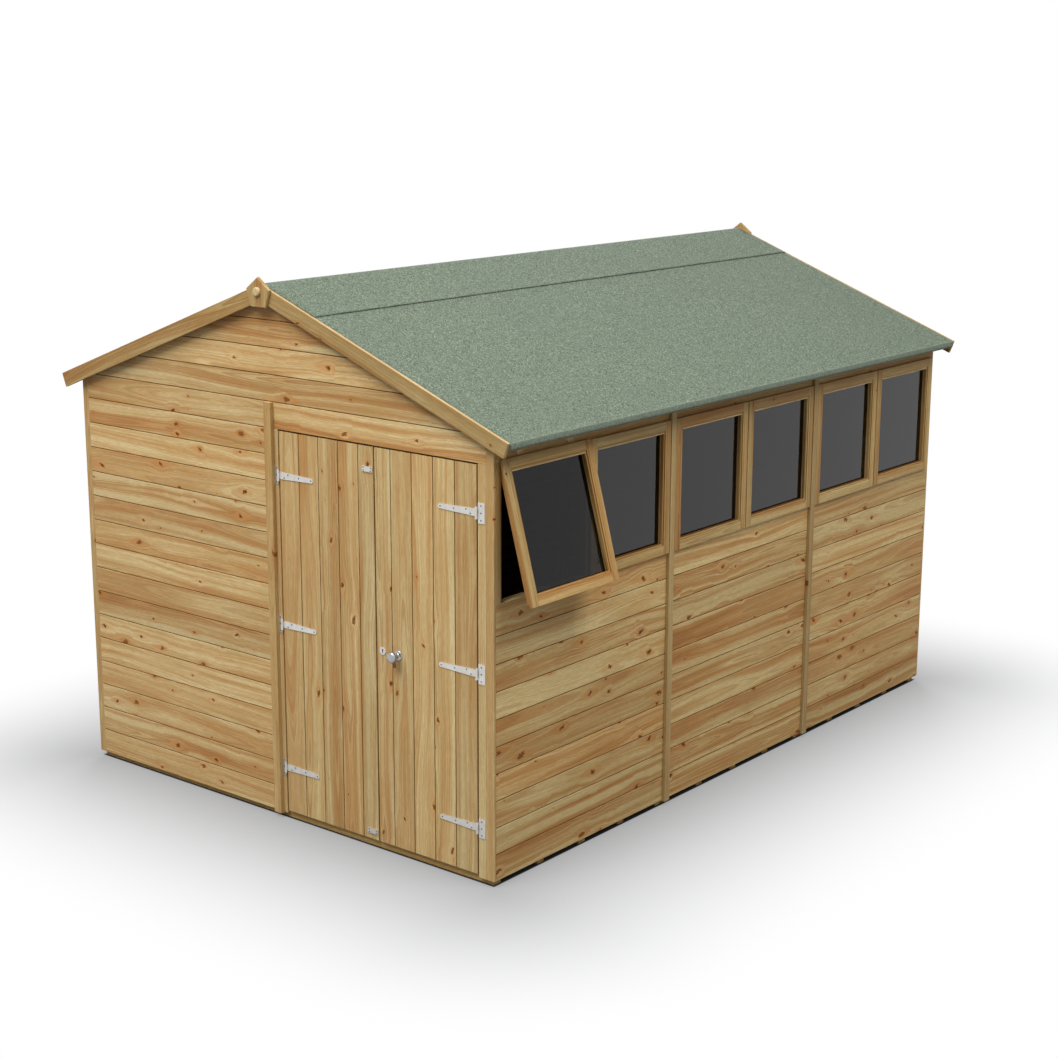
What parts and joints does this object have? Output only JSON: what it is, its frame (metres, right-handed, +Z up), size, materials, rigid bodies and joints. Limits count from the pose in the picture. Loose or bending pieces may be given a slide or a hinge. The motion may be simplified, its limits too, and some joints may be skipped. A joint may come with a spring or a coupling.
{
  "type": "wooden garden shed",
  "caption": "Apex-roofed wooden garden shed with tongue-and-groove walls, felt roof, a row of windows along one side and hinged double doors in the gable end.",
  "frame": {"origin": "centre of the wall footprint, on the ground under the middle floor bearer", "axes": "+Z up, +Y along the ridge away from the doors, +X towards the wall with the windows; the doors face -Y"},
  "size_m": [2.7066, 3.636, 2.356],
  "materials": {
    "cladding": "bare pine boards, satin",
    "framing": "sawn pine, matt",
    "floor_timber": "sawn pine, matt",
    "joinery": "planed pine, satin",
    "trim": "planed pine, satin",
    "roof_boarding": "pine boards, matt",
    "door_timber": "planed pine boards, satin",
    "mineral_felt": "grey-green mineral roofing felt, rough",
    "window_glass": "clear",
    "zinc_plated": "bright zinc plated"
  },
  "bodies": {
    "shed": {"left_wall_cladding": "cladding", "right_wall_cladding": "cladding", "window_head_boards": "cladding", "front_wall_cladding": "cladding", "back_wall_cladding": "cladding", "front_gable_cladding": "cladding", "back_gable_cladding": "cladding", "side_wall_rails": "framing", "side_wall_studs": "framing", "end_wall_rails": "framing", "end_wall_studs": "framing", "gable_rafters": "framing", "roof_purlins": "framing", "eaves_battens": "framing", "floor_bearers": "floor_timber", "floor_deck": "floor_timber", "window_sills": "joinery", "window_posts": "joinery", "sash_stiles": "joinery", "sash_rails": "joinery", "open_sash_stiles": "joinery", "open_sash_rails": "joinery", "cover_strips": "trim", "corner_trims": "trim", "bargeboards": "trim", "finials": "trim", "roof_boards_left": "roof_boarding", "roof_boards_right": "roof_boarding", "roof_felt_left": "mineral_felt", "roof_felt_right": "mineral_felt", "ridge_felt": "mineral_felt", "window_panes": "window_glass", "open_sash_pane": "window_glass", "hinge_plates": "zinc_plated", "window_stay": "zinc_plated"},
    "door_left": {"door_left_boards": "door_timber", "door_left_ledges": "door_timber", "door_left_braces": "door_timber", "hinge_straps_left": "zinc_plated", "door_left_bolt_plates": "zinc_plated"},
    "door_right": {"door_right_boards": "door_timber", "door_right_ledges": "door_timber", "door_right_braces": "door_timber", "hinge_straps_right": "zinc_plated", "door_knob": "zinc_plated", "keyhole_escutcheon": "zinc_plated"}
  },
  "joints": [
    {"name": "door_left_hinge", "type": "hinge", "parent": "shed", "child": "door_left", "pos_m": [0.049, -1.763, 0.882], "axis": [0, 0, -1], "range_deg": [0, 150]},
    {"name": "door_right_hinge", "type": "hinge", "parent": "shed", "child": "door_right", "pos_m": [1.137, -1.763, 0.882], "axis": [0, 0, 1], "range_deg": [0, 170]}
  ]
}
